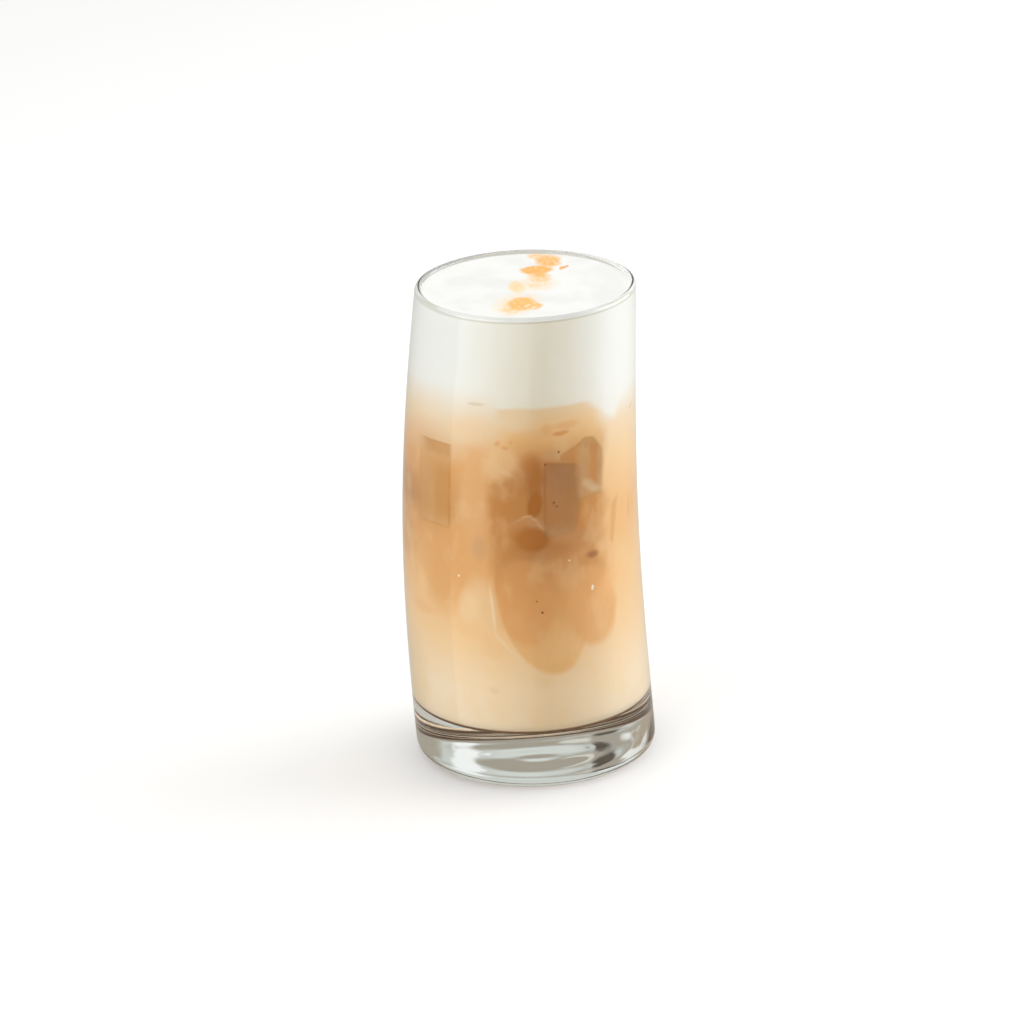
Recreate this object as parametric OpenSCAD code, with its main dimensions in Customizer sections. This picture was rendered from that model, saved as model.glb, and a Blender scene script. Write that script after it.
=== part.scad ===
// Iced latte in its glass: a tall tumbler with a heavy base and a gently bowed
// body, filled with milk, coffee and milk foam in three layers.
//
// Millimetres, +Z up. The origin is the middle of the foot, on the table.
// The front of the glass is the -Y side, and the body bows towards -X.

/* [Glass] */
// Height of the glass
glass_h = 145; // [120:1:180]
// Outer radius of the body at the table
base_r = 35.7; // [29:0.1:43]
// Outer radius of the body at the rim
rim_r = 32; // [26:0.1:39]
// Thickness of the wall
wall_t = 2; // [1.5:0.1:3]
// Thickness of the solid base
floor_t = 17; // [8:0.5:24]
// Radius of the rounded outer edge of the foot
foot_fillet = 4.5; // [1:0.1:6]
// Radius of the rounded corner inside, between the wall and the floor
corner_fillet = 4; // [1:0.1:6]
// How far the middle of the body bows towards -X
bow = 3.2; // [0:0.1:6]
// How far the rim stands towards +X of the foot
lean = 0.9; // [-4:0.1:4]

/* [Drink] */
// Clearance between the drink and the glass
drink_gap = 0.1; // [0.05:0.01:0.3]
// Mean depth of the milk at the bottom, above the floor of the glass
milk_depth = 28; // [15:1:40]
// How far the top of the milk rises and falls at the wall
milk_wave = 3; // [0:0.1:6]
// Mean depth of the foam, from its edge down to the coffee
foam_depth = 27.6; // [15:0.2:35]
// How far the underside of the foam rises and falls at the wall
foam_wave = 2.4; // [0:0.1:5]
// Height of the rim above the foam's edge
foam_below_rim = 1.4; // [1:0.1:12]
// How far the middle of the foam rises above its edge
foam_crown = 0.5; // [0:0.1:3]

/* [Hidden] */

// Flat sides round each ring of a solid
sides = 48;
// Steps along a wall between its two ends, and round a quarter of an arc
wall_steps = 9;
arc_steps = 4;
// Rings between the middle and the edge of a layer's face
face_rings = 4;

milk_top = floor_t + milk_depth;
foam_edge = glass_h - foam_below_rim;
foam_bottom = foam_edge - foam_depth;
drink_bottom = floor_t + drink_gap;
corner_top = floor_t + corner_fillet;
rim_round = wall_t / 2;

// The flat under the foot, and the disc that makes its middle one face
foot_flat_r = outer_r(foot_fillet) - foot_fillet;
foot_disc_t = 1;
foot_disc_r = foot_flat_r - foot_disc_t;

// The body's outline: how far its middle stands towards +X, and its radii
function axis_x(z) = lean * z / glass_h - bow * sin(180 * z / glass_h);
function outer_r(z) = base_r - (base_r - rim_r) * pow(z / glass_h, 2);
function inner_r(z) = outer_r(z) - wall_t;
function drink_r(z) = inner_r(z) - drink_gap;

// Points on an outline as [radius, height]: along an arc, and the heights between two levels
function arc(r, z, radius, from, to, steps) =
    [for (i = [0:steps]) let (a = from + (to - from) * i / steps) [r + radius * cos(a), z + radius * sin(a)]];
function levels(from, to, steps) = [for (i = [1:steps - 1]) from + (to - from) * i / steps];

// A ring of points through [radius, height], one point of it, and a point on the body's middle line
function ring(p) = [for (j = [0:sides - 1]) on_ring(p[0], p[1], 360 * j / sides)];
function on_ring(r, z, a) = [axis_x(z) + r * cos(a), r * sin(a), z];
function on_axis(z) = [axis_x(z), 0, z];

// Heights of the two faces where the layers meet, at the angle a and at the share f of the way to the wall
function milk_face(a, f) = milk_top + milk_wave * f * (0.6 * sin(2 * a + 40) + 0.4 * cos(3 * a));
function foam_face(a, f) = foam_bottom + foam_wave * f * (-0.5 * sin(a) - 0.3 * cos(2 * a) + 0.3 * sin(3 * a));

// The foam's face where upper is true, or the milk's: its height, a point of it, its ring number k from
// the middle, and all its rings from the middle to the wall or back
function face_z(a, f, upper) = upper ? foam_face(a, f) : milk_face(a, f);
function face_point(a, f, upper) = let (z = face_z(a, f, upper)) on_ring(f * drink_r(z), z, a);
function face_ring(k, upper) = [for (j = [0:sides - 1]) face_point(360 * j / sides, k / face_rings, upper)];
function face_outwards(upper) = [for (k = [1:face_rings]) face_ring(k, upper)];
function face_inwards(upper) = [for (k = [face_rings:-1:1]) face_ring(k, upper)];

// A point on the drink's side, at the share s of the way up from one height to another
function wall_point(a, low, high, s) = let (z = low + (high - low) * s) on_ring(drink_r(z), z, a);

// A closed solid through rings of points, with a point at each end. The first
// few strips between rings, crossed in number, are cut into triangles along the
// other diagonal, so that they match the top of the layer below.
module loft(rings, start, finish, crossed = 0) {
    last = len(rings) - 1;
    at = function(i, j) 1 + i * sides + j % sides;
    tip = 1 + len(rings) * sides;
    straight = [for (i = [crossed:1:last - 1], j = [0:sides - 1])
        each [[at(i, j), at(i + 1, j), at(i + 1, j + 1)], [at(i, j), at(i + 1, j + 1), at(i, j + 1)]]];
    other = [for (i = [0:1:crossed - 1], j = [0:sides - 1])
        each [[at(i, j), at(i + 1, j), at(i, j + 1)], [at(i + 1, j), at(i + 1, j + 1), at(i, j + 1)]]];
    start_fan = [for (j = [0:sides - 1]) [0, at(0, j), at(0, j + 1)]];
    finish_fan = [for (j = [0:sides - 1]) [at(last, j), tip, at(last, j + 1)]];
    polyhedron(
        points = concat([start], [for (r = rings) each r], [finish]),
        faces = concat(start_fan, other, straight, finish_fan),
        convexity = 6
    );
}

// The tumbler: rounded foot, wall, rounded rim, and the inside down to the floor
module glass() {
    rim_z = glass_h - rim_round;
    foot = arc(foot_flat_r, foot_fillet, foot_fillet, -90, 0, arc_steps);
    outside = [for (z = levels(foot_fillet, rim_z, wall_steps)) [outer_r(z), z]];
    rim = arc(outer_r(rim_z) - rim_round, rim_z, rim_round, 0, 180, 2 * arc_steps - 2);
    inside = [for (z = levels(rim_z, corner_top, wall_steps)) [inner_r(z), z]];
    corner = arc(inner_r(corner_top) - corner_fillet, corner_top, corner_fillet, 0, -90, arc_steps);
    outline = concat(foot, outside, rim, inside, corner);
    color([0.86, 0.91, 0.9, 0.35]) {
        loft([for (p = outline) ring(p)], on_axis(0), on_axis(floor_t));
        cylinder(r = foot_disc_r, h = foot_disc_t);
    }
}

// The milk: it fills the rounded corner at the bottom, and its top is the face under the coffee
module milk() {
    fillet = corner_fillet - drink_gap;
    corner = arc(drink_r(corner_top) - fillet, corner_top, fillet, -90, 0, arc_steps);
    wall = [for (s = [1:arc_steps - 1]) [for (j = [0:sides - 1]) let (a = 360 * j / sides)
        wall_point(a, corner_top, milk_face(a, 1), s / arc_steps)]];
    color([0.93, 0.86, 0.75])
        loft(concat([for (p = corner) ring(p)], wall, face_inwards(false)), on_axis(drink_bottom), on_axis(milk_top));
}

// The coffee, between the milk and the foam
module coffee() {
    wall = [for (s = [1:wall_steps - 1]) [for (j = [0:sides - 1]) let (a = 360 * j / sides)
        wall_point(a, milk_face(a, 1), foam_face(a, 1), s / wall_steps)]];
    color([0.82, 0.6, 0.38])
        loft(
            concat(face_outwards(false), wall, face_inwards(true)),
            on_axis(milk_top), on_axis(foam_bottom), face_rings - 1
        );
}

// The foam, up to its crown just under the rim
module foam() {
    wall = [for (s = [1:arc_steps]) [for (j = [0:sides - 1]) let (a = 360 * j / sides)
        wall_point(a, foam_face(a, 1), foam_edge, s / arc_steps)]];
    crown = [for (k = [face_rings - 1:-1:1]) let (f = k / face_rings, z = foam_edge + foam_crown * (1 - f * f))
        ring([f * drink_r(z), z])];
    color([0.97, 0.96, 0.93])
        loft(
            concat(face_outwards(true), wall, crown),
            on_axis(foam_bottom), on_axis(foam_edge + foam_crown), face_rings - 1
        );
}

glass();
milk();
coffee();
foam();
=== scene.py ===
import math

import bpy
import numpy as np
from mathutils import Matrix, Vector, noise


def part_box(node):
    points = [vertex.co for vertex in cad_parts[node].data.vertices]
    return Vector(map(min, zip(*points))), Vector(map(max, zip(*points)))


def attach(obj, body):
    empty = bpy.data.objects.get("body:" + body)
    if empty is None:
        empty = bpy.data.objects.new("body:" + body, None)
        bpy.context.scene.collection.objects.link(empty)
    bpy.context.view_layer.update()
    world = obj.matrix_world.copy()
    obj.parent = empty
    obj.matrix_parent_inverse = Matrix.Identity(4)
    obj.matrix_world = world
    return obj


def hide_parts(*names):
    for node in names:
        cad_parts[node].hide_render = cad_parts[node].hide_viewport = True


# An iced latte in its glass: the looks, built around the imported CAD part.
# Metres in meshes; "mm" in a name means millimetres, and angles round the
# glass are degrees from its front (-Y), positive towards +X.

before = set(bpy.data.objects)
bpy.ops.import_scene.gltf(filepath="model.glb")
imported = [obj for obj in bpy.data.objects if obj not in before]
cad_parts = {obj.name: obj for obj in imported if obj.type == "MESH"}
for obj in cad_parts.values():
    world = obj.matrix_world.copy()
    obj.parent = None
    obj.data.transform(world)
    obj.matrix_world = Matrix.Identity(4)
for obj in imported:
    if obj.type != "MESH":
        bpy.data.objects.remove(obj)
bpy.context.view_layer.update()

MM = 0.001
# Edges sharper than this many degrees stay sharp
CREASE = 50
# Points of the CAD part whose heights differ by less than this are in one ring
SAME_LEVEL = 0.01 * MM


# ---------------------------------------------------------------- the glass as packed

def cad_ring(node, height):
    """Middle, radius and height of the CAD node's ring of points nearest to a height."""
    points = np.array([vertex.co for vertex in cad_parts[node].data.vertices])
    level = points[np.abs(points[:, 2] - height).argmin(), 2]
    ring = points[np.abs(points[:, 2] - level) < SAME_LEVEL]
    low, high = ring.min(axis=0), ring.max(axis=0)
    return (low[0] + high[0]) / 2, (high[1] - low[1]) / 2, level


GLASS_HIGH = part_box("glass")[1]
HEIGHT = GLASS_HIGH.z
WALL = 2.0 * MM
RIM_ROUND = WALL / 2
FOOT_FILLET = 4.5 * MM
CORNER_FILLET = 4.0 * MM
FLOOR = 17.0 * MM
# The underside of the foot is very slightly hollow, with ripples round the
# middle: their share of the hollow, and their radians from middle to edge
FOOT_HOLLOW = 0.5 * MM
RIPPLE_SHARE = 0.25
RIPPLE_RATE = 11
BASE_R = GLASS_HIGH.y
TOP_X, TOP_R, _top = cad_ring("glass", HEIGHT)
RIM_R = TOP_R + RIM_ROUND
LEAN = TOP_X
MIDDLE_X, _radius, MIDDLE_Z = cad_ring("glass", HEIGHT / 2)
BOW = (LEAN * MIDDLE_Z / HEIGHT - MIDDLE_X) / math.sin(math.pi * MIDDLE_Z / HEIGHT)

# How far the drink reaches into the wall, so that no air gap shows
REACH = 0.15 * MM
FOAM_EDGE = HEIGHT - 1.4 * MM
FOAM_CROWN = 0.5 * MM
# Mean heights of the faces between the layers, and how far they wave at the wall
FOAM_BOTTOM = 116.0 * MM
FOAM_WAVE = 2.4 * MM
MILK_TOP = 45.0 * MM
MILK_WAVE = 3.0 * MM


def axis_x(z):
    """How far the middle of the glass stands towards +X at a height."""
    return LEAN * z / HEIGHT - BOW * np.sin(np.pi * z / HEIGHT)


# The smooth body is drawn in by this much, so that it stays inside the CAD part's box
TRIM = 0.02 * MM


def outer_r(z):
    return BASE_R - TRIM - (BASE_R - RIM_R) * (z / HEIGHT) ** 2


def inner_r(z):
    return outer_r(z) - WALL


# ---------------------------------------------------------------- meshes

def add_mesh(name, vertices, faces, material):
    mesh = bpy.data.meshes.new(name)
    mesh.from_pydata([tuple(v) for v in vertices], [], faces)
    mesh.shade_smooth()
    mesh.set_sharp_from_angle(angle=math.radians(CREASE))
    piece = bpy.data.objects.new(name, mesh)
    bpy.context.scene.collection.objects.link(piece)
    mesh.materials.append(material)
    return piece


def loft(name, rings, start, finish, material):
    """A closed surface through rings of equally many points, with a point at each end."""
    count, sides = len(rings), len(rings[0])
    vertices = np.vstack([[start], np.concatenate(rings), [finish]])

    def at(i, j):
        return 1 + i * sides + j % sides

    faces = [(0, at(0, j + 1), at(0, j)) for j in range(sides)]
    faces += [(at(i, j), at(i, j + 1), at(i + 1, j + 1), at(i + 1, j))
              for i in range(count - 1) for j in range(sides)]
    faces += [(at(count - 1, j), at(count - 1, j + 1), len(vertices) - 1) for j in range(sides)]
    return add_mesh(name, vertices, faces, material)


def ring(radius, z, sides):
    """Points round the glass: radius and z are numbers, or an array with a value for each point."""
    angle = np.linspace(0, 2 * np.pi, sides, endpoint=False)
    z = np.full(sides, z) if np.isscalar(z) else z
    return np.stack([axis_x(z) + radius * np.cos(angle), radius * np.sin(angle), z], axis=1)


def on_axis(z):
    return (axis_x(z), 0, z)


def arc(radius, z, fillet, start, end, steps):
    """Radius and height along an arc of an outline, between two angles in degrees."""
    angles = np.radians(np.linspace(start, end, steps + 1))
    return [(radius + fillet * math.cos(a), z + fillet * math.sin(a)) for a in angles]


# ---------------------------------------------------------------- shader helpers

def linear(red, green, blue):
    """A colour in the usual steps from 0 to 255, as the shader takes it."""
    def channel(c):
        c /= 255
        return c / 12.92 if c <= 0.04045 else ((c + 0.055) / 1.055) ** 2.4
    return (channel(red), channel(green), channel(blue), 1.0)


class Graph:
    """Short forms for the nodes of one tree."""

    def __init__(self, tree):
        self.nodes, self.links = tree.nodes, tree.links

    def add(self, kind, **settings):
        node = self.nodes.new(kind)
        for name, value in settings.items():
            setattr(node, name, value)
        return node

    def feed(self, socket, value):
        if isinstance(value, bpy.types.NodeSocket):
            self.links.new(value, socket)
        elif value is not None:
            socket.default_value = value

    def math(self, operation, a, b=None, c=None, clamp=False):
        node = self.add("ShaderNodeMath", operation=operation, use_clamp=clamp)
        for socket, value in zip(node.inputs, (a, b, c)):
            self.feed(socket, value)
        return node.outputs[0]

    def vector(self, operation, a, b=None, scale=None):
        node = self.add("ShaderNodeVectorMath", operation=operation)
        self.feed(node.inputs[0], a)
        self.feed(node.inputs[1], b)
        if scale is not None:
            self.feed(node.inputs["Scale"], scale)
        return node.outputs["Value" if operation in ("LENGTH", "DOT_PRODUCT") else "Vector"]

    def split(self, vector):
        node = self.add("ShaderNodeSeparateXYZ")
        self.feed(node.inputs[0], vector)
        return node.outputs[0], node.outputs[1], node.outputs[2]

    def join(self, x, y, z):
        node = self.add("ShaderNodeCombineXYZ")
        for socket, value in zip(node.inputs, (x, y, z)):
            self.feed(socket, value)
        return node.outputs[0]

    def smooth(self, value, low, high):
        """1 up to low, 0 from high, and smooth between."""
        node = self.add("ShaderNodeMapRange", interpolation_type="SMOOTHSTEP")
        for socket, given in zip(node.inputs, (value, low, high, 1.0, 0.0)):
            self.feed(socket, given)
        return node.outputs[0]

    def mix(self, factor, a, b, blend="MIX"):
        node = self.add("ShaderNodeMix", data_type="RGBA", blend_type=blend)
        self.feed(node.inputs[0], factor)
        self.feed(node.inputs[6], a)
        self.feed(node.inputs[7], b)
        return node.outputs[2]

    def noise(self, place, scale, detail):
        node = self.add("ShaderNodeTexNoise")
        self.feed(node.inputs["Vector"], place)
        node.inputs["Scale"].default_value = scale
        node.inputs["Detail"].default_value = detail
        return node

    def without(self, factor):
        """1 minus a factor."""
        return self.math("SUBTRACT", 1.0, factor)

    def oval(self, place, middle, width, length, turn, soft):
        """1 inside a soft oval and 0 outside it, by its middle, half sizes, turn and softness."""
        spot = self.add("ShaderNodeMapping", vector_type="TEXTURE")
        self.feed(spot.inputs["Vector"], place)
        spot.inputs["Location"].default_value = middle
        spot.inputs["Rotation"].default_value = (0, 0, math.radians(turn))
        spot.inputs["Scale"].default_value = (width, length, 1)
        return self.smooth(self.vector("LENGTH", spot.outputs[0]), 1 - soft, 1 + soft)

    def ramp(self, value, stops):
        node = self.add("ShaderNodeValToRGB")
        self.feed(node.inputs[0], value)
        bar = node.color_ramp
        while len(bar.elements) < len(stops):
            bar.elements.new(0.5)
        for element, (place, colour) in zip(bar.elements, stops):
            element.position = place
            element.color = colour
        return node.outputs[0]


def new_material(name):
    material = bpy.data.materials.new(name)
    material.use_nodes = True
    material.node_tree.nodes.clear()
    return material, Graph(material.node_tree)


def clear_to_lamps(g, shader):
    """The material's output: the shader, but the lamps shine straight through."""
    clear = g.add("ShaderNodeBsdfTransparent")
    path = g.add("ShaderNodeLightPath")
    either = g.add("ShaderNodeMixShader")
    out = g.add("ShaderNodeOutputMaterial")
    g.feed(either.inputs[0], path.outputs["Is Shadow Ray"])
    g.feed(either.inputs[1], shader.outputs[0])
    g.feed(either.inputs[2], clear.outputs[0])
    g.feed(out.inputs["Surface"], either.outputs[0])


# ---------------------------------------------------------------- glass

def glass_material():
    """Clear glass that lets the lamps through to the drink."""
    material, g = new_material("clear_glass")
    shader = g.add("ShaderNodeBsdfPrincipled")
    shader.inputs["Base Color"].default_value = linear(250, 252, 251)
    shader.inputs["Roughness"].default_value = 0.0
    shader.inputs["IOR"].default_value = 1.5
    shader.inputs["Transmission Weight"].default_value = 1.0
    clear_to_lamps(g, shader)
    return material


# Steps along the glass's outline: its rounded corners, its rim, each face of its
# wall, the underside from the middle out; and its sides round each ring
ROUND_STEPS = 12
RIM_STEPS = 16
WALL_STEPS = 50
FOOT_STEPS = 32
GLASS_SIDES = 192


def foot_hollow(share):
    """Height of the foot's underside, at a share of the way from its middle to its edge."""
    ripple = 1 + RIPPLE_SHARE * math.sin(RIPPLE_RATE * share)
    return FOOT_HOLLOW * (1 - share * share) * ripple


def build_glass():
    rim_z = HEIGHT - RIM_ROUND
    corner_z = FLOOR + CORNER_FILLET
    outline = arc(outer_r(FOOT_FILLET) - FOOT_FILLET, FOOT_FILLET, FOOT_FILLET, -90, 0, ROUND_STEPS)
    outline += [(outer_r(z), z) for z in np.linspace(FOOT_FILLET, rim_z, WALL_STEPS)[1:-1]]
    outline += arc(outer_r(rim_z) - RIM_ROUND, rim_z, RIM_ROUND, 0, 180, RIM_STEPS)
    outline += [(inner_r(z), z) for z in np.linspace(rim_z, corner_z, WALL_STEPS)[1:-1]]
    outline += arc(inner_r(corner_z) - CORNER_FILLET, corner_z, CORNER_FILLET, 0, -90, ROUND_STEPS)
    flat = outline[0][0]
    inside = outline[-1][0]
    outline = [(flat * s, foot_hollow(s)) for s in np.linspace(0.03, 0.97, FOOT_STEPS)] + outline
    outline += [(inside * s, FLOOR) for s in (0.9, 0.6, 0.3)]
    rings = [ring(r, z, GLASS_SIDES) for r, z in outline]
    piece = loft("glass_tumbler", rings, on_axis(FOOT_HOLLOW), on_axis(FLOOR), glass_material())
    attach(piece, "root")
    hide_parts("glass")


# ---------------------------------------------------------------- colours of the drink

MILK = (247, 228, 202)
WARM_MILK = (246, 214, 170)
MILKY_COFFEE = (240, 197, 142)
COFFEE = (231, 177, 116)
STRONG_COFFEE = (215, 159, 100)
DARK_COFFEE = (190, 129, 73)
CREAM = (243, 221, 192)
FOAM = (245, 245, 244)

# Where each tone lies up the wall, in mm: on the left and the right side of the
# glass, and in the darker middle of its front
LEFT_TONES = [(30, MILK), (46, WARM_MILK), (61, MILKY_COFFEE), (77, COFFEE), (86, STRONG_COFFEE),
              (99, COFFEE), (112, CREAM), (123, FOAM)]
RIGHT_TONES = [(30, MILK), (48, WARM_MILK), (76, MILKY_COFFEE), (84, MILKY_COFFEE), (99, WARM_MILK),
               (108, CREAM), (117, FOAM)]
MIDDLE_TONES = [(44, MILKY_COFFEE), (58, COFFEE), (71, STRONG_COFFEE), (97, DARK_COFFEE),
                (102, STRONG_COFFEE), (108, MILKY_COFFEE), (113, WARM_MILK), (117.3, CREAM),
                (118.4, FOAM)]
# The left side's tones are full up to the first x in mm, and the right side's from the second
LEFT_TO_RIGHT = (-14, 24)

# The middle's darker area: its two sides as angles, where it fades out below,
# how far each of them is blurred in mm, how far noise moves its sides, and the
# lobe of coffee that sinks into the milk under it
MIDDLE_LEFT = -13
MIDDLE_RIGHT = 44
MIDDLE_LOW = 53
LEFT_BLUR = 2.8
RIGHT_BLUR = 4
LOW_BLUR = 6
RAGGED_SIZE = 11
RAGGED_REACH = 4.5
LOBE = (9, 60, 13.0, 24.3, 11, 0.05)

# How noise pushes the places of the colours about: the noise's size and the
# reach of the push in mm, and the noise's detail
BROAD_WAVES = (16, 2.2, 2)
FINE_WAVES = (4, 0.5, 3)
STEADY_WAVES = (5, 0.4, 3)
TOP_WAVES = (3.5, 1.2, 4)
TOP_GRAIN = (0.9, 0.45, 3)

# Marks in the drink, painted over each other in this order. A patch is a soft
# oval: angle, height, half width and half height in mm, tilt, softness,
# strength, colour. A facet is where the flat of something, mostly ice, lies
# against the glass: its corners as angle, height and the softness in mm of the
# edge to the next corner, anticlockwise; then strength and colour.
BROAD_PATCHES = [
    (-40, 68, 8.5, 12, 0, 0.5, 0.85, (231, 179, 120)),
    (-24, 90, 5, 16, 0, 0.5, 0.8, (237, 191, 138)),
    (-21, 57, 4.2, 9, 12, 0.5, 0.8, (243, 212, 170)),
    (-58, 53, 6, 1.8, 0, 0.6, 0.7, (240, 195, 144)),
    (-22, 75.5, 2.4, 3, 0, 0.5, 0.7, (217, 176, 130)),
    (37, 55, 8.6, 12.4, 12, 0.16, 0.85, (236, 184, 127)),
    (-76, 87, 9, 5.5, 0, 0.6, 0.7, (200, 148, 88)),
    (-78, 74, 8, 7, 0, 0.6, 0.6, (212, 160, 98)),
    (-78, 30, 9, 16, 0, 0.6, 0.6, (226, 202, 164)),
    (46, 60, 8.5, 3, 40, 0.7, 0.7, (245, 196, 138)),
    (-6, 86, 6, 13, 0, 0.5, 0.85, (208, 148, 82)),
    (37, 84.3, 6.5, 4.8, 8, 0.5, 0.8, (217, 154, 86)),
    (1, 59, 7.4, 13.2, 6, 0.12, 0.55, (231, 173, 113)),
    (-11, 101.5, 5.0, 5.5, -30, 0.4, 0.85, (241, 203, 155)),
    (-28, 49, 6.0, 2.2, -20, 0.6, 0.6, (243, 205, 156)),
    (-17, 44.5, 3.0, 2.5, 0, 0.5, 0.5, (242, 206, 160)),
    (-28, 57, 3.2, 5.0, 0, 0.5, 0.7, (247, 220, 180)),
    (-4, 114, 6.5, 3.4, 0, 0.5, 0.8, (244, 225, 199)),
    (-28, 110.5, 7.5, 4, 0, 0.6, 0.75, (244, 219, 186)),
]
LEFT_BLOCK = [(-60, 80, 4), (-38, 80, 0.5), (-38, 105.5, 0.3), (-60, 105.5, 3)]
MIDDLE_BLOCK = [(11.5, 78, 6), (28, 79, 4), (35, 99, 0.9), (11.5, 101.3, 0.5)]
UPPER_BLOCK = [(30, 88, 2), (44, 88, 1.2), (45.5, 102, 0.8), (39, 106.6, 0.3), (33.5, 107, 0.3),
               (27.5, 104.8, 1.0)]
BACK_BLOCKS = [
    [(142, 78, 4), (166, 77, 2), (168, 101, 0.4), (146, 103.5, 0.5)],
    [(-146, 84, 2), (-120, 81, 4), (-118, 104.5, 0.6), (-142, 106.5, 0.4)],
]
FACETS = [
    # the foam comes further down on the right
    ([(31, 119, 1.5), (54, 109.5, 2), (70, 122, 1), (31, 124, 1)], 0.9, FOAM),
    (LEFT_BLOCK, 0.4, (218, 157, 82)),
    ([(-57, 101.3, 1.2), (-39.5, 101.3, 0.4), (-39.5, 105.4, 0.25), (-57, 105.4, 2)], 0.7, (217, 157, 88)),
    ([(-51, 83, 2.5), (-38, 83, 0.4), (-38, 98, 2.5), (-51, 98, 2.5)], 0.6, (214, 147, 68)),
    (MIDDLE_BLOCK, 0.8, (203, 134, 56)),
    ([(19.5, 101, 1.2), (31, 100, 0.8), (31, 105.8, 0.3), (20, 103.2, 0.25)], 0.8, (207, 148, 84)),
    (UPPER_BLOCK, 0.7, (219, 162, 96)),
    ([(31, 89, 1.2), (36.5, 89, 0.4), (36.5, 101, 1.5), (30, 101, 1)], 0.75, (212, 159, 104)),
    ([(37.5, 91, 0.8), (42.2, 91, 0.6), (42.2, 104, 1.0), (37.5, 105, 0.4)], 0.85, (224, 150, 70)),
    ([(49.5, 73, 0.8), (52, 72, 0.6), (56.5, 86, 0.8), (51.5, 84, 1.0)], 0.65, (223, 172, 116)),
    (BACK_BLOCKS[0], 0.6, (210, 150, 84)),
    (BACK_BLOCKS[1], 0.6, (216, 159, 94)),
]
FINE_PATCHES = [
    # dark coffee and a pale gap in the middle
    (20, 95.5, 4.6, 4.6, 0, 0.7, 0.6, (189, 129, 76)),
    (16, 103.4, 3.0, 1.5, 8, 0.5, 0.6, (220, 179, 134)),
    (5.8, 99.6, 2.5, 4.2, 10, 0.7, 0.75, (194, 128, 54)),
    (7.0, 95, 1.7, 6.0, -4, 0.5, 0.7, (190, 122, 46)),
    (6.8, 88.6, 2.1, 4.0, -12, 0.25, 0.95, (186, 117, 30)),
    # the pale fold under it, with a painted highlight along its arched top edge, and the dark patch below
    # that
    (-1, 83.6, 3.4, 1.5, 28, 0.5, 0.25, (216, 168, 118)),
    (7, 82.6, 3.4, 1.7, -40, 0.5, 0.6, (217, 169, 123)),
    (14, 79.6, 4.0, 1.6, -22, 0.6, 0.35, (214, 162, 108)),
    (11, 74.5, 7.0, 2.8, 0, 0.7, 0.5, (190, 125, 60)),
    (23, 78.2, 5.0, 2.0, -2, 0.7, 0.45, (213, 162, 114)),
    # four thin ovals: the painted highlight along the fold's top edge
    (-0.6, 84.6, 2.0, 0.35, 26, 0.6, 0.35, (230, 187, 143)),
    (2.6, 85.5, 1.4, 0.35, 4, 0.6, 0.6, (234, 193, 150)),
    (6.0, 84.4, 1.7, 0.35, -32, 0.6, 0.6, (234, 193, 150)),
    (9.4, 81.9, 1.9, 0.35, -48, 0.6, 0.6, (232, 190, 146)),
    (5.6, 78.2, 4.8, 3.6, -8, 0.28, 0.95, (187, 117, 30)),
    (0.5, 78.6, 3.6, 3.0, 0, 0.8, 0.6, (194, 128, 56)),
    # pale milk under the ice at the upper right
    (37.5, 91.9, 2.9, 1.3, -28, 0.7, 0.6, (234, 203, 163)),
    (42, 90.2, 2.8, 0.9, -6, 0.7, 0.5, (236, 204, 162)),
    # wisps of milk on the left
    (-15.5, 57, 0.5, 6.5, 4, 0.5, 0.7, (248, 230, 200)),
    (-11.5, 46.8, 3.6, 0.5, -52, 0.5, 0.6, (247, 226, 194)),
    (-5, 42.6, 2.6, 0.5, -40, 0.5, 0.5, (246, 223, 189)),
    (-25, 118.8, 2.6, 0.5, 2, 0.5, 0.7, (224, 208, 186)),
    (-12, 100, 4.5, 1.0, -28, 0.6, 0.5, (243, 209, 167)),
    # dabs of coffee under the foam
    (20, 109.6, 2.6, 0.7, 3, 0.4, 0.8, (226, 158, 92)),
    (12.5, 111, 1.6, 1.6, 0, 0.6, 0.6, (238, 186, 131)),
    (23, 111.8, 3.6, 1.2, 0, 0.6, 0.6, (238, 185, 129)),
    (-12.5, 107.6, 0.9, 0.7, 20, 0.5, 0.7, (234, 178, 120)),
    (-8.5, 106.2, 1.1, 0.6, -15, 0.5, 0.7, (232, 176, 118)),
    (-6, 107.8, 0.6, 0.5, 0, 0.5, 0.6, (234, 178, 120)),
    (68, 80, 0.9, 3.6, -6, 0.5, 0.7, (238, 183, 120)),
    (72.5, 80, 0.7, 2.6, 0, 0.5, 0.6, (239, 186, 125)),
    (73, 110, 1.6, 0.6, 20, 0.5, 0.5, (214, 196, 168)),
    # a dark fleck of coffee on the right, and a faint ring on the left
    (37.5, 70.8, 1.9, 1.0, -4, 0.6, 0.95, (176, 122, 78)),
    (-17, 31.5, 1.6, 1.3, 0, 0.5, 0.5, (232, 213, 186)),
]
# Thin clouds of milk all through the coffee: their size in mm and how they are
# drawn out upwards, the noise values they start and are full at, and the height
# in mm where they end and the blur below it
CLOUD = (246, 217, 168)
CLOUD_STRENGTH = 0.3
CLOUD_SIZE = 7
CLOUD_SHAPE = (1, 1, 0.6)
CLOUD_RANGE = (0.46, 0.72)
CLOUD_TOP = 113
CLOUD_BLUR = 4
# Specks of ground coffee: angle, height and half size in mm
SPECKS = [(17, 88.5, 0.4), (18.6, 87.2, 0.32), (12, 100.7, 0.3), (6.5, 59.2, 0.24), (9, 55.6, 0.34),
          (19, 104, 0.3)]
SPECK = (120, 76, 40)
# Bubbles of air: angle, height, half width and half height in mm
BUBBLES = [(36.5, 60.5, 0.45, 0.8), (-33, 66, 0.3, 0.3), (24, 70.5, 0.25, 0.25)]
BUBBLE = (255, 250, 240)
BUBBLE_TILT = -10
DOT_SOFT = 0.4

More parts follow.
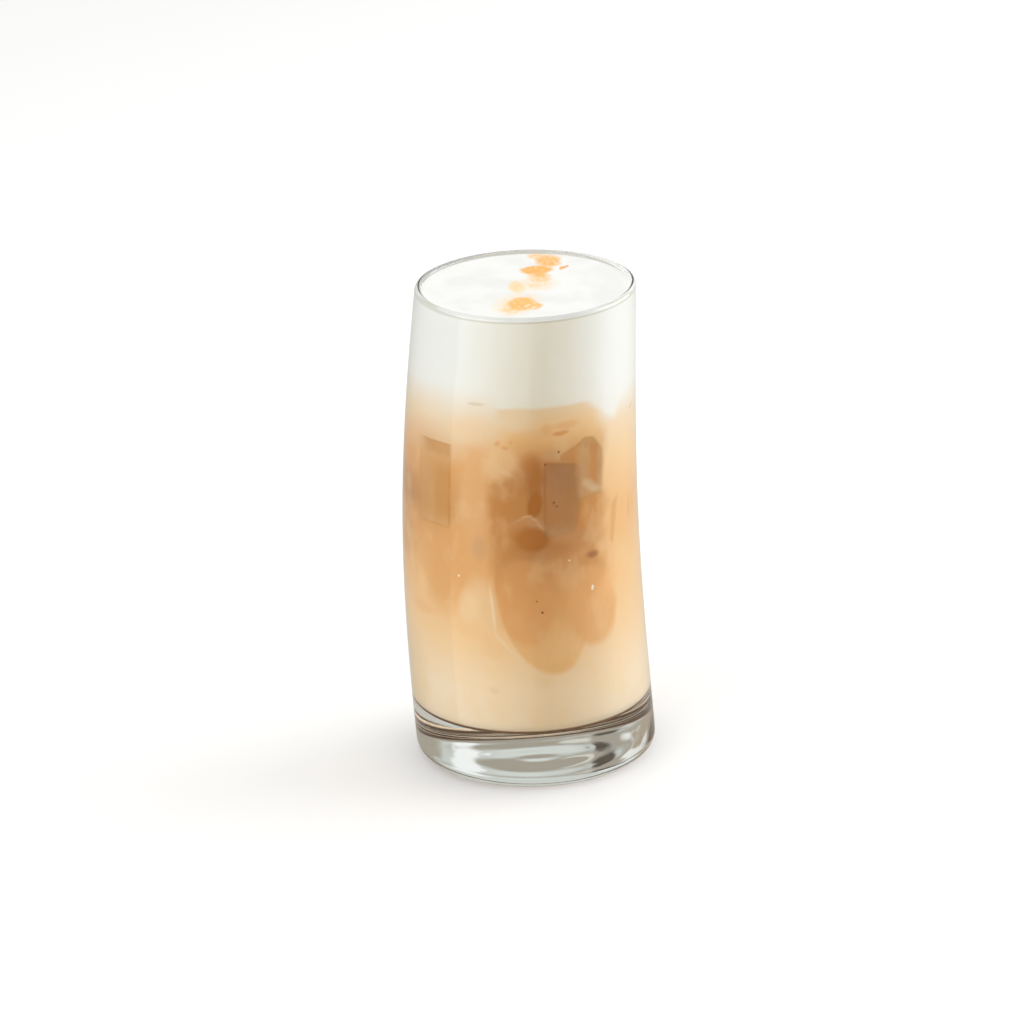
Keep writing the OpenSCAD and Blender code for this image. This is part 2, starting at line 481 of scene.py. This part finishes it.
# The back of the glass isn't seen from the front: much the same drink, guessed
BACK_PATCHES = [
    (-150, 82, 12, 17, 10, 0.5, 0.75, (214, 157, 98)),
    (118, 72, 9, 14, -12, 0.5, 0.7, (230, 176, 118)),
    (158, 92, 10, 12, 0, 0.5, 0.7, (222, 167, 108)),
    (-112, 60, 8, 11, 14, 0.5, 0.7, (232, 180, 122)),
    (-165, 54, 9, 14, -6, 0.5, 0.7, (232, 182, 126)),
    (135, 52, 9, 15, 6, 0.5, 0.7, (234, 186, 130)),
    (-125, 104, 6, 5, -20, 0.5, 0.7, (241, 203, 155)),
    (140, 112, 9, 4, 0, 0.6, 0.7, (243, 218, 186)),
    (-158, 88, 2.4, 5, 10, 0.3, 0.8, (190, 122, 54)),
    (-144, 76, 4.6, 3.4, 8, 0.3, 0.8, (192, 124, 56)),
    (-150, 82.5, 5.0, 0.8, 22, 0.5, 0.6, (230, 186, 142)),
    (150, 100, 5.0, 0.8, -24, 0.5, 0.6, (238, 202, 160)),
    (170, 66, 0.6, 7, -8, 0.5, 0.6, (248, 228, 196)),
    (-130, 45, 4.5, 0.6, 40, 0.5, 0.6, (247, 226, 194)),
    (105, 58, 0.7, 6, 12, 0.5, 0.6, (248, 228, 196)),
]

# Painted light and shade, multiplied into the colour of the drink's sides from angle to angle round the
# front: painted shade, darker and warmer, in the middle, and between -38.5 and -37 degrees the edge of a
# painted reflection of a lamp
PAINTED_LIGHT_ROUND_FRONT = [
    (-90, (236, 236, 234)), (-70, (248, 248, 245)), (-38.5, (250, 250, 246)), (-37, (255, 255, 251)),
    (10, (239, 231, 213)), (48, (252, 252, 249)), (90, (232, 232, 231)),
]
# The wall unrolls as if its radius were this many mm, and one degree of it is this wide
WALL_RADIUS = 33.5
WALL_DEGREE = math.radians(1) * WALL_RADIUS

# A dark brown line of painted shade where the drink curves in to the floor: full up to the first height in
# mm, and gone from the second
DRINK_FLOOR_SHADE = (18.0, 18.8)
DRINK_FLOOR_SHADE_BROWN = (110, 66, 30)
DRINK_FLOOR_SHADE_STRENGTH = 0.9
# and a faint grey line of painted shadow just under the foam's edge at the glass, blurred from the first
# distance to the second
FOAM_EDGE_SHADOW = FOAM_EDGE / MM - 0.3
FOAM_EDGE_SHADOW_BLUR = (0.15, 0.5)
FOAM_EDGE_SHADOW_GREY = (192, 188, 172)
FOAM_EDGE_SHADOW_STRENGTH = 0.42

# Coffee on top of the foam, as soft ovals seen from above: x, y, half width and
# half length in mm, turn, softness, strength, colour
TOP_MARKS = [
    (-2.6, -15.4, 5.6, 8.2, -14, 0.6, 0.6, (244, 215, 168)),
    (-4.6, -19.9, 2.4, 4.6, -10, 0.5, 0.5, (244, 206, 148)),
    (-1.4, -14.5, 3.6, 6.0, -8, 0.25, 0.9, (243, 190, 116)),
    (2.0, -16.4, 2.4, 3.6, 20, 0.25, 0.9, (243, 192, 120)),
    (0.6, -16.5, 0.7, 1.6, -30, 0.4, 0.8, (242, 228, 204)),
    (2.4, -18.3, 0.8, 0.7, 0, 0.4, 0.8, (242, 232, 211)),
    (-2.4, 0.1, 2.3, 5.0, 4, 0.45, 0.8, (244, 212, 154)),
    (3.8, 2.5, 4.8, 5.2, 0, 0.55, 0.65, (242, 219, 184)),
    (2.6, 1.1, 1.6, 1.4, 0, 0.5, 0.5, (243, 208, 156)),
    (4.4, 8.6, 3.2, 4.2, 0, 0.5, 0.75, (242, 202, 146)),
    (3.4, 15.1, 4.7, 3.8, 0, 0.22, 0.95, (241, 183, 106)),
    (4.4, 11.3, 2.2, 3.0, 0, 0.35, 0.8, (241, 188, 121)),
    (7.2, 23.1, 3.7, 5.6, 4, 0.3, 0.9, (243, 187, 117)),
    (3.6, 28.1, 2.6, 2.6, 30, 0.5, 0.7, (244, 198, 136)),
    (11.2, 16.3, 0.9, 2.0, -24, 0.35, 0.9, (237, 173, 97)),
    (12.2, 17.5, 0.6, 1.0, 0, 0.4, 0.8, (233, 163, 88)),
]
# The coffee marks are streaked: size and shape of the streaks, their contrast,
# and what a mark's strength is lowered by
STREAK_SIZE = 1.1
STREAK_SHAPE = (1, 0.35, 0)
STREAK_CONTRAST = 1.5
STREAK_LOSS = 0.74
# The foam's top, painted a shade darker than the side's FOAM as painted shade against the stronger light
# from above, with patches of painted grey shade as in soft hollows: their size in mm, and the noise values
# between which they fade
FOAM_TOP_SHADED = (238, 238, 235)
FOAM_SHADE = (232, 232, 229)
SHADE_PATCH_SIZE = 16
SHADE_PATCH_RANGE = (0.36, 0.56)
# The look of the top is full from this far below the foam's edge in mm, and starts at the second
TOP_BLUR = (0.02, 0.1)


def straight_place(g, source):
    """The place in millimetres, with the bow of the glass taken out."""
    left_right, front_back, height = g.split(g.vector("SCALE", source, scale=1 / MM))
    share = g.math("DIVIDE", height, HEIGHT / MM)
    bowed = g.math("MULTIPLY", g.math("SINE", g.math("MULTIPLY", share, math.pi)), BOW / MM)
    leaned = g.math("MULTIPLY", share, LEAN / MM)
    x = g.math("ADD", g.math("SUBTRACT", left_right, leaned), bowed)
    return g.join(x, front_back, height)


def warped(g, place, size_mm, amount_mm, detail):
    """The place, pushed about by noise of a given size."""
    cloud = g.noise(place, 1 / size_mm, detail)
    push = g.vector("SUBTRACT", cloud.outputs["Color"], (0.5, 0.5, 0.5))
    return g.vector("ADD", place, g.vector("SCALE", push, scale=2 * amount_mm))


def wall_place(g, place):
    """The place unrolled from the wall: mm to the right of the front, height in mm, and 1."""
    x, y, height = g.split(place)
    angle = g.math("ARCTAN2", x, g.math("MULTIPLY", y, -1.0))
    return g.join(g.math("MULTIPLY", angle, WALL_RADIUS), height, 1.0)


def patch_factor(g, wall, angle, height, width, tall, tilt, soft):
    """1 inside a soft oval on the wall, and 0 outside it."""
    return g.oval(wall, (angle * WALL_DEGREE, height, 1), width, tall, tilt, soft)


def facet_factor(g, wall, corners):
    """1 inside a polygon on the wall, and 0 outside it."""
    factor = None
    for i, (angle, height, soft) in enumerate(corners):
        end_angle, end_height, _soft = corners[(i + 1) % len(corners)]
        along = Vector(((end_angle - angle) * WALL_DEGREE, end_height - height)).normalized()
        out = (along.y, -along.x)
        offset = out[0] * angle * WALL_DEGREE + out[1] * height
        beyond = g.vector("DOT_PRODUCT", wall, (out[0], out[1], -offset))
        edge = g.smooth(beyond, -soft, soft)
        factor = edge if factor is None else g.math("MULTIPLY", factor, edge)
    return factor


def tones(g, level, stops):
    return g.ramp(level, [(z * MM / HEIGHT, linear(*rgb)) for z, rgb in stops])


def paint(g, colour, factor, strength, rgb):
    """The colour with another one over it, where the factor is 1."""
    return g.mix(g.math("MULTIPLY", factor, strength), colour, linear(*rgb))


def paint_patches(g, colour, wall, patches):
    for *oval, strength, rgb in patches:
        colour = paint(g, colour, patch_factor(g, wall, *oval), strength, rgb)
    return colour


def middle_factor(g, place, steady_wall, across, height):
    """1 in the darker middle of the front, and 0 outside it."""
    push = g.noise(place, 1 / RAGGED_SIZE, 3).outputs[0]
    ragged = g.math("MULTIPLY_ADD", push, 2 * RAGGED_REACH, g.math("SUBTRACT", across, RAGGED_REACH))
    left, right = MIDDLE_LEFT * WALL_DEGREE, MIDDLE_RIGHT * WALL_DEGREE
    inside = g.math("MULTIPLY", g.smooth(ragged, right - RIGHT_BLUR, right + RIGHT_BLUR),
                    g.without(g.smooth(ragged, left - LEFT_BLUR, left + LEFT_BLUR)))
    below = g.smooth(height, MIDDLE_LOW - LOW_BLUR, MIDDLE_LOW + LOW_BLUR)
    inside = g.math("MULTIPLY", inside, g.without(below))
    return g.math("MAXIMUM", inside, patch_factor(g, steady_wall, *LOBE))


def paint_clouds(g, colour, wavy, height):
    stretched = g.vector("MULTIPLY", wavy, CLOUD_SHAPE)
    cloud = g.noise(stretched, 1 / CLOUD_SIZE, 3).outputs[0]
    cloud = g.without(g.smooth(cloud, *CLOUD_RANGE))
    cloud = g.math("MULTIPLY", cloud, g.smooth(height, CLOUD_TOP - CLOUD_BLUR, CLOUD_TOP))
    return paint(g, colour, cloud, CLOUD_STRENGTH, CLOUD)


def paint_dots(g, colour, wall):
    """The colour with the specks of coffee and the bubbles over it."""
    for angle, z, size in SPECKS:
        factor = patch_factor(g, wall, angle, z, size, size, 0, DOT_SOFT)
        colour = g.mix(factor, colour, linear(*SPECK))
    for angle, z, width, tall in BUBBLES:
        factor = patch_factor(g, wall, angle, z, width, tall, BUBBLE_TILT, DOT_SOFT)
        colour = g.mix(factor, colour, linear(*BUBBLE))
    return colour


def paint_shade_lines(g, colour, height):
    """The colour with the painted shade line at the floor and the faint painted shadow line at the foam's
    edge.
    """
    # painted shade at the floor, then a painted shadow line under the foam's edge
    colour = paint(g, colour, g.smooth(height, *DRINK_FLOOR_SHADE), DRINK_FLOOR_SHADE_STRENGTH, DRINK_FLOOR_SHADE_BROWN)
    away = g.math("ABSOLUTE", g.math("SUBTRACT", height, FOAM_EDGE_SHADOW))
    return paint(g, colour, g.smooth(away, *FOAM_EDGE_SHADOW_BLUR), FOAM_EDGE_SHADOW_STRENGTH, FOAM_EDGE_SHADOW_GREY)


def drink_colour_group():
    """The colour of the whole drink, with its painted light and shade, from place to place, for all three
    layers.
    """
    tree = bpy.data.node_groups.new("drink_colour", "ShaderNodeTree")
    tree.interface.new_socket("Color", in_out="OUTPUT", socket_type="NodeSocketColor")
    g = Graph(tree)
    place = straight_place(g, g.add("ShaderNodeTexCoord").outputs["Object"])
    wavy = warped(g, warped(g, place, *BROAD_WAVES), *FINE_WAVES)
    steady = warped(g, place, *STEADY_WAVES)
    wall, wavy_wall, steady_wall = (wall_place(g, spot) for spot in (place, wavy, steady))
    true_height = g.split(place)[2]
    x, _y, height = g.split(wavy)
    across, _height, _one = g.split(wavy_wall)
    level = g.math("DIVIDE", height, HEIGHT / MM)
    steady_level = g.math("DIVIDE", g.split(steady)[2], HEIGHT / MM)

    left = g.smooth(x, *LEFT_TO_RIGHT)
    colour = g.mix(left, tones(g, level, RIGHT_TONES), tones(g, level, LEFT_TONES))
    middle = middle_factor(g, place, steady_wall, across, height)
    colour = g.mix(middle, colour, tones(g, steady_level, MIDDLE_TONES))
    colour = paint_patches(g, colour, wavy_wall, BROAD_PATCHES + BACK_PATCHES)
    colour = paint_clouds(g, colour, wavy, height)
    for corners, strength, rgb in FACETS:
        colour = paint(g, colour, facet_factor(g, steady_wall, corners), strength, rgb)
    colour = paint_patches(g, colour, steady_wall, FINE_PATCHES)
    colour = paint_dots(g, colour, wall)
    colour = paint_shade_lines(g, colour, true_height)

    # the painted light and shade round the front, multiplied over the colour of the drink's sides
    turn = g.math("MULTIPLY_ADD", across, 1 / (180 * WALL_DEGREE), 0.5)
    painted_light = g.ramp(turn, [((angle + 90) / 180, linear(*rgb)) for angle, rgb in PAINTED_LIGHT_ROUND_FRONT])
    colour = g.mix(1.0, colour, painted_light, "MULTIPLY")
    full, start = (blur - FOAM_EDGE / MM for blur in TOP_BLUR)
    on_top = g.smooth(g.math("MULTIPLY", true_height, -1.0), full, start)
    colour = g.mix(on_top, colour, foam_top_colour(g, place))
    out = g.add("NodeGroupOutput")
    g.feed(out.inputs[0], colour)
    return tree


def foam_top_colour(g, place):
    """White foam, painted a shade darker than the side, with soft patches of painted grey shade, and the
    coffee marks.
    """
    # noise for the patches of painted grey shade on the top
    shade = g.noise(place, 1 / SHADE_PATCH_SIZE, 2).outputs[0]
    colour = g.mix(g.smooth(shade, *SHADE_PATCH_RANGE), linear(*FOAM_TOP_SHADED), linear(*FOAM_SHADE))
    ragged = warped(g, warped(g, place, *TOP_WAVES), *TOP_GRAIN)
    flat = g.vector("MULTIPLY", ragged, (1, 1, 0))
    streaks = g.noise(g.vector("MULTIPLY", ragged, STREAK_SHAPE), 1 / STREAK_SIZE, 3).outputs[0]
    for x, y, width, length, turn, soft, strength, rgb in TOP_MARKS:
        mark = g.oval(flat, (x, y, 0), width, length, turn, soft)
        streaked = g.math("MULTIPLY_ADD", streaks, STREAK_CONTRAST, strength - STREAK_LOSS, clamp=True)
        colour = g.mix(g.math("MULTIPLY", mark, streaked), colour, linear(*rgb))
    return colour


def drink_material(name, group, roughness):
    material, g = new_material(name)
    colour = g.add("ShaderNodeGroup", node_tree=group)
    shader = g.add("ShaderNodeBsdfPrincipled")
    shader.inputs["Roughness"].default_value = roughness
    shader.inputs["Specular IOR Level"].default_value = 0.0
    out = g.add("ShaderNodeOutputMaterial")
    g.feed(shader.inputs["Base Color"], colour.outputs[0])
    g.feed(out.inputs["Surface"], shader.outputs[0])
    return material


# ---------------------------------------------------------------- ice

# Blocks of ice that lie against the glass, those that touch together: the
# outline of each, how steeply its sides go in, and how deep it is in mm
ICE = [
    [(LEFT_BLOCK, 0.3, 1.5)],
    [(MIDDLE_BLOCK, 0.35, 1.6), (UPPER_BLOCK, 0.25, 0.9)],
    [(BACK_BLOCKS[0], 0.22, 0.9)],
    [(BACK_BLOCKS[1], 0.22, 0.9)],
]
# The ice goes this far into the wall, less than the drink, and this far into the drink behind it
ICE_REACH = 0.1 * MM
ICE_SINK = 0.08 * MM
# The points of the ice's mesh are this many mm apart, and go this far past the outlines
ICE_STEP = 0.7
ICE_MARGIN = 1.0


def ice_depth(angle, height, blocks):
    """How far ice reaches in from the wall in mm, at angles in degrees and heights in mm."""
    depth = np.zeros(np.broadcast(angle, height).shape)
    for corners, slope, deepest in blocks:
        inside = np.full(depth.shape, float(deepest))
        for i, (a, z, _soft) in enumerate(corners):
            end_a, end_z, _soft = corners[(i + 1) % len(corners)]
            along = Vector(((end_a - a) * WALL_DEGREE, end_z - z)).normalized()
            beyond = along.y * (angle - a) * WALL_DEGREE - along.x * (height - z)
            inside = np.minimum(inside, -beyond * slope)
        depth = np.maximum(depth, inside)
    return depth


def on_wall(angle, height, radius):
    """Points at angles from the front in degrees and heights in mm."""
    turn, z = np.radians(angle), height * MM
    return np.stack([axis_x(z) + radius * np.sin(turn), -radius * np.cos(turn), z], axis=-1).reshape(-1, 3)


def ice_material():
    material, g = new_material("clear_ice")
    shader = g.add("ShaderNodeBsdfPrincipled")
    shader.inputs["Base Color"].default_value = linear(252, 253, 252)
    shader.inputs["Roughness"].default_value = 0.02
    shader.inputs["IOR"].default_value = 1.31
    shader.inputs["Specular Tint"].default_value = linear(90, 90, 90)
    shader.inputs["Transmission Weight"].default_value = 1.0
    clear_to_lamps(g, shader)
    return material


def build_ice():
    """One closed plate for each group of blocks, as thick as the ice and thin round it."""
    vertices, faces = [], []
    for blocks in ICE:
        corners = [corner for outline, _slope, _deepest in blocks for corner in outline]
        margin = ICE_MARGIN / WALL_DEGREE
        low_a, high_a = min(c[0] for c in corners) - margin, max(c[0] for c in corners) + margin
        low_z, high_z = min(c[1] for c in corners) - ICE_MARGIN, max(c[1] for c in corners) + ICE_MARGIN
        across = int((high_a - low_a) * WALL_DEGREE / ICE_STEP) + 2
        up = int((high_z - low_z) / ICE_STEP) + 2
        angle, height = np.meshgrid(np.linspace(low_a, high_a, across), np.linspace(low_z, high_z, up))
        wall_r = inner_r(height * MM)
        depth = ice_depth(angle, height, blocks) * MM
        first, layer = len(vertices), across * up
        vertices += list(on_wall(angle, height, wall_r + ICE_REACH))
        vertices += list(on_wall(angle, height, wall_r - ICE_SINK - depth))
        for row in range(up - 1):
            for column in range(across - 1):
                a = first + row * across + column
                face = (a, a + 1, a + across + 1, a + across)
                faces += [face, tuple(v + layer for v in reversed(face))]
        edge = list(range(across))
        edge += [row * across + across - 1 for row in range(1, up)]
        edge += [(up - 1) * across + column for column in range(across - 2, -1, -1)]
        edge += [row * across for row in range(up - 2, 0, -1)]
        for a, b in zip(edge, edge[1:] + edge[:1]):
            faces.append((first + b, first + a, first + a + layer, first + b + layer))
    piece = add_mesh("ice_cubes", vertices, faces, ice_material())
    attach(piece, "root")


# ---------------------------------------------------------------- drink

# Sides round each ring of the drink, and the angle of each point from the front
SIDES = 384
FRONT_ANGLES = (np.linspace(0, 360, SIDES, endpoint=False) + 90 + 180) % 360 - 180
# Rings of the drink: the rounded corner's steps, those up the wall of each
# layer, and steps from the middle to the wall of an inner face and of the top
CORNER_STEPS = 10
MILK_RINGS = 20
COFFEE_RINGS = 110
FOAM_RINGS = 30
FACE_STEPS = 6
TOP_STEPS = 60
# How matt the drink is, and the foam
DRINK_ROUGHNESS = 0.3
FOAM_ROUGHNESS = 0.5
# The foam's mounds: how fast the broad and the fine ones change, the fine ones'
# share, the highest share of the crown, and how the foam clings to the glass
BROAD_MOUNDS = 2.6
FINE_MOUNDS = 7.0
FINE_SHARE = 0.2
MOUND_TOP = 0.95
CLING_POWER = 12
CLING_HEIGHT = 0.8


def side_rings(low, high, count):
    """Rings up the wall between two heights, each a number or an array round the glass."""
    rings = []
    for s in np.linspace(0, 1, count):
        z = low + (high - low) * s
        z = np.full(SIDES, z) if np.isscalar(z) else z
        hollow = np.zeros(SIDES)
        for blocks in ICE:
            hollow = np.maximum(hollow, ice_depth(FRONT_ANGLES, z / MM, blocks))
        rings.append(ring(inner_r(z) + REACH - hollow * MM, z, SIDES))
    return rings


def face_rings(level, count, inwards):
    """Rings of a face across the glass. level(angle, share) gives its height."""
    angle = np.linspace(0, 2 * np.pi, SIDES, endpoint=False)
    shares = np.linspace(0, 1, count + 1)[1:-1]
    rings = []
    for share in (shares[::-1] if inwards else shares):
        z = level(angle, share)
        rings.append(ring(share * (inner_r(z) + REACH), z, SIDES))
    return rings


def milk_level(angle, share):
    wave = 0.6 * np.sin(2 * angle + math.radians(40)) + 0.4 * np.cos(3 * angle)
    return MILK_TOP + MILK_WAVE * share * wave


def coffee_level(angle, share):
    wave = -0.5 * np.sin(angle) - 0.3 * np.cos(2 * angle) + 0.3 * np.sin(3 * angle)
    return FOAM_BOTTOM + FOAM_WAVE * share * wave


def foam_level(angle, share):
    """Low mounds, drawn up a little where the foam clings to the glass."""
    shape = []
    for a in np.atleast_1d(angle):
        place = Vector((share * math.cos(a), share * math.sin(a), 0.3))
        broad, fine = noise.noise(place * BROAD_MOUNDS), noise.noise(place * FINE_MOUNDS)
        shape.append(0.5 + 0.5 * broad + FINE_SHARE * fine)
    mound = np.clip(np.array(shape), 0.0, MOUND_TOP)
    cling = share ** CLING_POWER
    return FOAM_EDGE + FOAM_CROWN * (mound * (1 - cling) + CLING_HEIGHT * cling)


def build_drink():
    group = drink_colour_group()
    angle = np.linspace(0, 2 * np.pi, SIDES, endpoint=False)
    corner_z = FLOOR + CORNER_FILLET
    corner = arc(inner_r(corner_z) - CORNER_FILLET, corner_z, CORNER_FILLET + REACH, -90, 0, CORNER_STEPS)
    bottom = [ring(r, z, SIDES) for r, z in corner]
    milk_edge, coffee_edge = milk_level(angle, 1.0), coffee_level(angle, 1.0)

    milk_rings = bottom + side_rings(corner_z, milk_edge, MILK_RINGS)[1:]
    milk_rings += face_rings(milk_level, FACE_STEPS, True)
    milk = loft("milk_layer", milk_rings, on_axis(FLOOR - REACH), on_axis(MILK_TOP),
                drink_material("milk_with_coffee", group, DRINK_ROUGHNESS))
    coffee_rings = face_rings(milk_level, FACE_STEPS, False)
    coffee_rings += side_rings(milk_edge, coffee_edge, COFFEE_RINGS)
    coffee_rings += face_rings(coffee_level, FACE_STEPS, True)
    coffee = loft("coffee_layer", coffee_rings, on_axis(MILK_TOP), on_axis(FOAM_BOTTOM),
                  drink_material("coffee_with_milk", group, DRINK_ROUGHNESS))
    foam_rings = face_rings(coffee_level, FACE_STEPS, False)
    foam_rings += side_rings(coffee_edge, foam_level(angle, 1.0), FOAM_RINGS)
    foam_rings += face_rings(foam_level, TOP_STEPS, True)
    foam_top = float(foam_level(0.0, 0.0)[0])
    foam = loft("milk_foam", foam_rings, on_axis(FOAM_BOTTOM), on_axis(foam_top),
                drink_material("milk_foam", group, FOAM_ROUGHNESS))
    for piece, node in ((milk, "milk"), (coffee, "coffee"), (foam, "foam")):
        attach(piece, "root")
        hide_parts(node)


# ---------------------------------------------------------------- stage

# The floor lies this far under the foot, so that the two faces don't fight
FLOOR_GAP = 0.1 * MM
# From the middle of the floor to its sides, in metres
FLOOR_HALF = 6.0
FLOOR_WHITE = (250, 250, 249)
FLOOR_THROUGH_GLASS = (230, 228, 223)
FLOOR_MIRRORED = (198, 194, 186)


def lights_a_surface(g):
    """1 for the rays that light a matt surface, and 0 for what the camera sees in the glass."""
    return g.math("GREATER_THAN", g.add("ShaderNodeLightPath").outputs["Diffuse Depth"], 0.5)


def build_floor():
    """A white floor; the glass mirrors and bends a warmer, darker table."""
    material, g = new_material("pale_floor")
    path = g.add("ShaderNodeLightPath")
    tint = g.mix(path.outputs["Is Transmission Ray"], linear(*FLOOR_WHITE), linear(*FLOOR_THROUGH_GLASS))
    tint = g.mix(path.outputs["Is Glossy Ray"], tint, linear(*FLOOR_MIRRORED))
    tint = g.mix(lights_a_surface(g), tint, linear(*FLOOR_WHITE))
    shader = g.add("ShaderNodeBsdfDiffuse")
    g.feed(shader.inputs["Color"], tint)
    out = g.add("ShaderNodeOutputMaterial")
    g.feed(out.inputs["Surface"], shader.outputs[0])
    corners = [(-1, -1), (1, -1), (1, 1), (-1, 1)]
    vertices = [(x * FLOOR_HALF, y * FLOOR_HALF, -FLOOR_GAP) for x, y in corners]
    floor = add_mesh("floor", vertices, [(0, 1, 2, 3)], material)


def add_light(name, azimuth, elevation, distance, size, power):
    """A soft white lamp that faces the glass. Azimuth is from the front, positive towards +X."""
    a, e = math.radians(azimuth), math.radians(elevation)
    lamp = bpy.data.lights.new(name, "AREA")
    lamp.shape = "RECTANGLE"
    lamp.size, lamp.size_y = size
    lamp.energy = power
    light = bpy.data.objects.new(name, lamp)
    away = Vector((math.sin(a) * math.cos(e), -math.cos(a) * math.cos(e), math.sin(e)))
    light.location = Vector((0, 0, HEIGHT / 2)) + away * distance
    light.rotation_mode = "QUATERNION"
    light.rotation_quaternion = away.to_track_quat("Z", "Y")
    light.visible_transmission = False
    bpy.context.scene.collection.objects.link(light)


def build_lights():
    add_light("left_softbox", -50, 15, 1.2, (1.1, 1.2), 8.8)
    add_light("right_softbox", 105, 15, 1.2, (1.1, 1.1), 13.0)
    add_light("top_softbox", 170, 70, 1.6, (1.4, 1.0), 4.0)
    build_world()


# The studio round the glass: its even light, and what shows in the glass
STUDIO_LIGHT = 0.72
STUDIO_GREY = (0.35, 0.36, 0.35, 1)
# The backdrop that shows upside down in the foot: its tones below and above the
# middle, and its patches as x and height of a direction, half width, half height, colour
BACKDROP_LOW = (206, 210, 204)
BACKDROP_HIGH = (166, 159, 146)
BACKDROP = [
    (0.0, 0.33, 0.3, 0.05, (214, 218, 212)),
    (0.82, 0.36, 0.22, 0.3, (172, 165, 150)),
    (-0.85, 0.36, 0.2, 0.3, (176, 164, 144)),
    (0.42, 0.34, 0.14, 0.1, (250, 252, 250)),
    (-0.45, 0.37, 0.2, 0.05, (84, 76, 66)),
    (-0.55, 0.3, 0.24, 0.05, (250, 252, 250)),
    (-0.3, 0.44, 0.12, 0.03, (214, 212, 200)),
    (-0.66, 0.46, 0.2, 0.04, (244, 244, 238)),
    (-0.93, 0.3, 0.08, 0.1, (226, 216, 196)),
]
BACKDROP_MIDDLE = (0.375, 0.425)
PATCH_BLUR = (0.6, 1.0)
# Noise, drawn out sideways, pushes the patches this far along x and in height
BACKDROP_SHAPE = (2.0, 2.0, 14.0)
BACKDROP_NOISE = 1.6
PUSH_X = 0.45
PUSH_HEIGHT = 0.1
# Directions with less y than the first see only the studio's grey, and from the second the backdrop
TOWARDS_CAMERA = (-0.5, 0.0)


def build_world():
    """Even light, but for mirrored and bent rays a patterned backdrop behind the glass."""
    world = bpy.data.worlds.new("studio")
    bpy.context.scene.world = world
    world.use_nodes = True
    g = Graph(world.node_tree)
    direction = g.add("ShaderNodeTexCoord").outputs["Generated"]
    x, y, height = g.split(direction)
    stretched = g.vector("MULTIPLY", direction, BACKDROP_SHAPE)
    uneven = g.math("SUBTRACT", g.noise(stretched, BACKDROP_NOISE, 3).outputs[0], 0.5)
    x = g.math("MULTIPLY_ADD", uneven, PUSH_X, x)
    height = g.math("MULTIPLY_ADD", uneven, PUSH_HEIGHT, height)
    seen = g.mix(g.smooth(height, *BACKDROP_MIDDLE), linear(*BACKDROP_HIGH), linear(*BACKDROP_LOW))
    for at_x, at_height, half_width, half_height, colour in BACKDROP:
        across = g.math("DIVIDE", g.math("SUBTRACT", x, at_x), half_width)
        up = g.math("DIVIDE", g.math("SUBTRACT", height, at_height), half_height)
        off = g.vector("LENGTH", g.join(across, up, 0.0))
        seen = g.mix(g.smooth(off, *PATCH_BLUR), seen, linear(*colour))
    seen = g.mix(g.smooth(y, *TOWARDS_CAMERA), seen, STUDIO_GREY)
    even = (STUDIO_LIGHT, STUDIO_LIGHT, STUDIO_LIGHT, 1)
    g.feed(world.node_tree.nodes["Background"].inputs[0], g.mix(lights_a_surface(g), seen, even))


# The camera's distance, its angle above the horizon, its roll, the point it looks
# at, its lens and film in mm, and how far it sees
CAMERA_DISTANCE = 1.5
CAMERA_ELEVATION = 21.07
CAMERA_ROLL = 1.94
CAMERA_TARGET = Vector((-5.16, 0, 74.23)) * MM
CAMERA_LENS = 179.2
CAMERA_FILM = 36
CAMERA_SIGHT = 50


def build_camera():
    elevation = math.radians(CAMERA_ELEVATION)
    back = Vector((0, -math.cos(elevation), math.sin(elevation)))
    camera = bpy.data.objects.new("camera", bpy.data.cameras.new("camera"))
    camera.data.lens = CAMERA_LENS
    camera.data.sensor_width = CAMERA_FILM
    camera.data.clip_end = CAMERA_SIGHT
    camera.location = CAMERA_TARGET + back * CAMERA_DISTANCE
    turn = Matrix.Rotation(-math.radians(CAMERA_ROLL), 4, "Z")
    camera.rotation_euler = (back.to_track_quat("Z", "Y").to_matrix().to_4x4() @ turn).to_euler()
    bpy.context.scene.collection.objects.link(camera)
    bpy.context.scene.camera = camera


scene = bpy.context.scene
scene.view_settings.view_transform = "Standard"
build_camera()
build_lights()
build_floor()
build_glass()
build_drink()
build_ice()
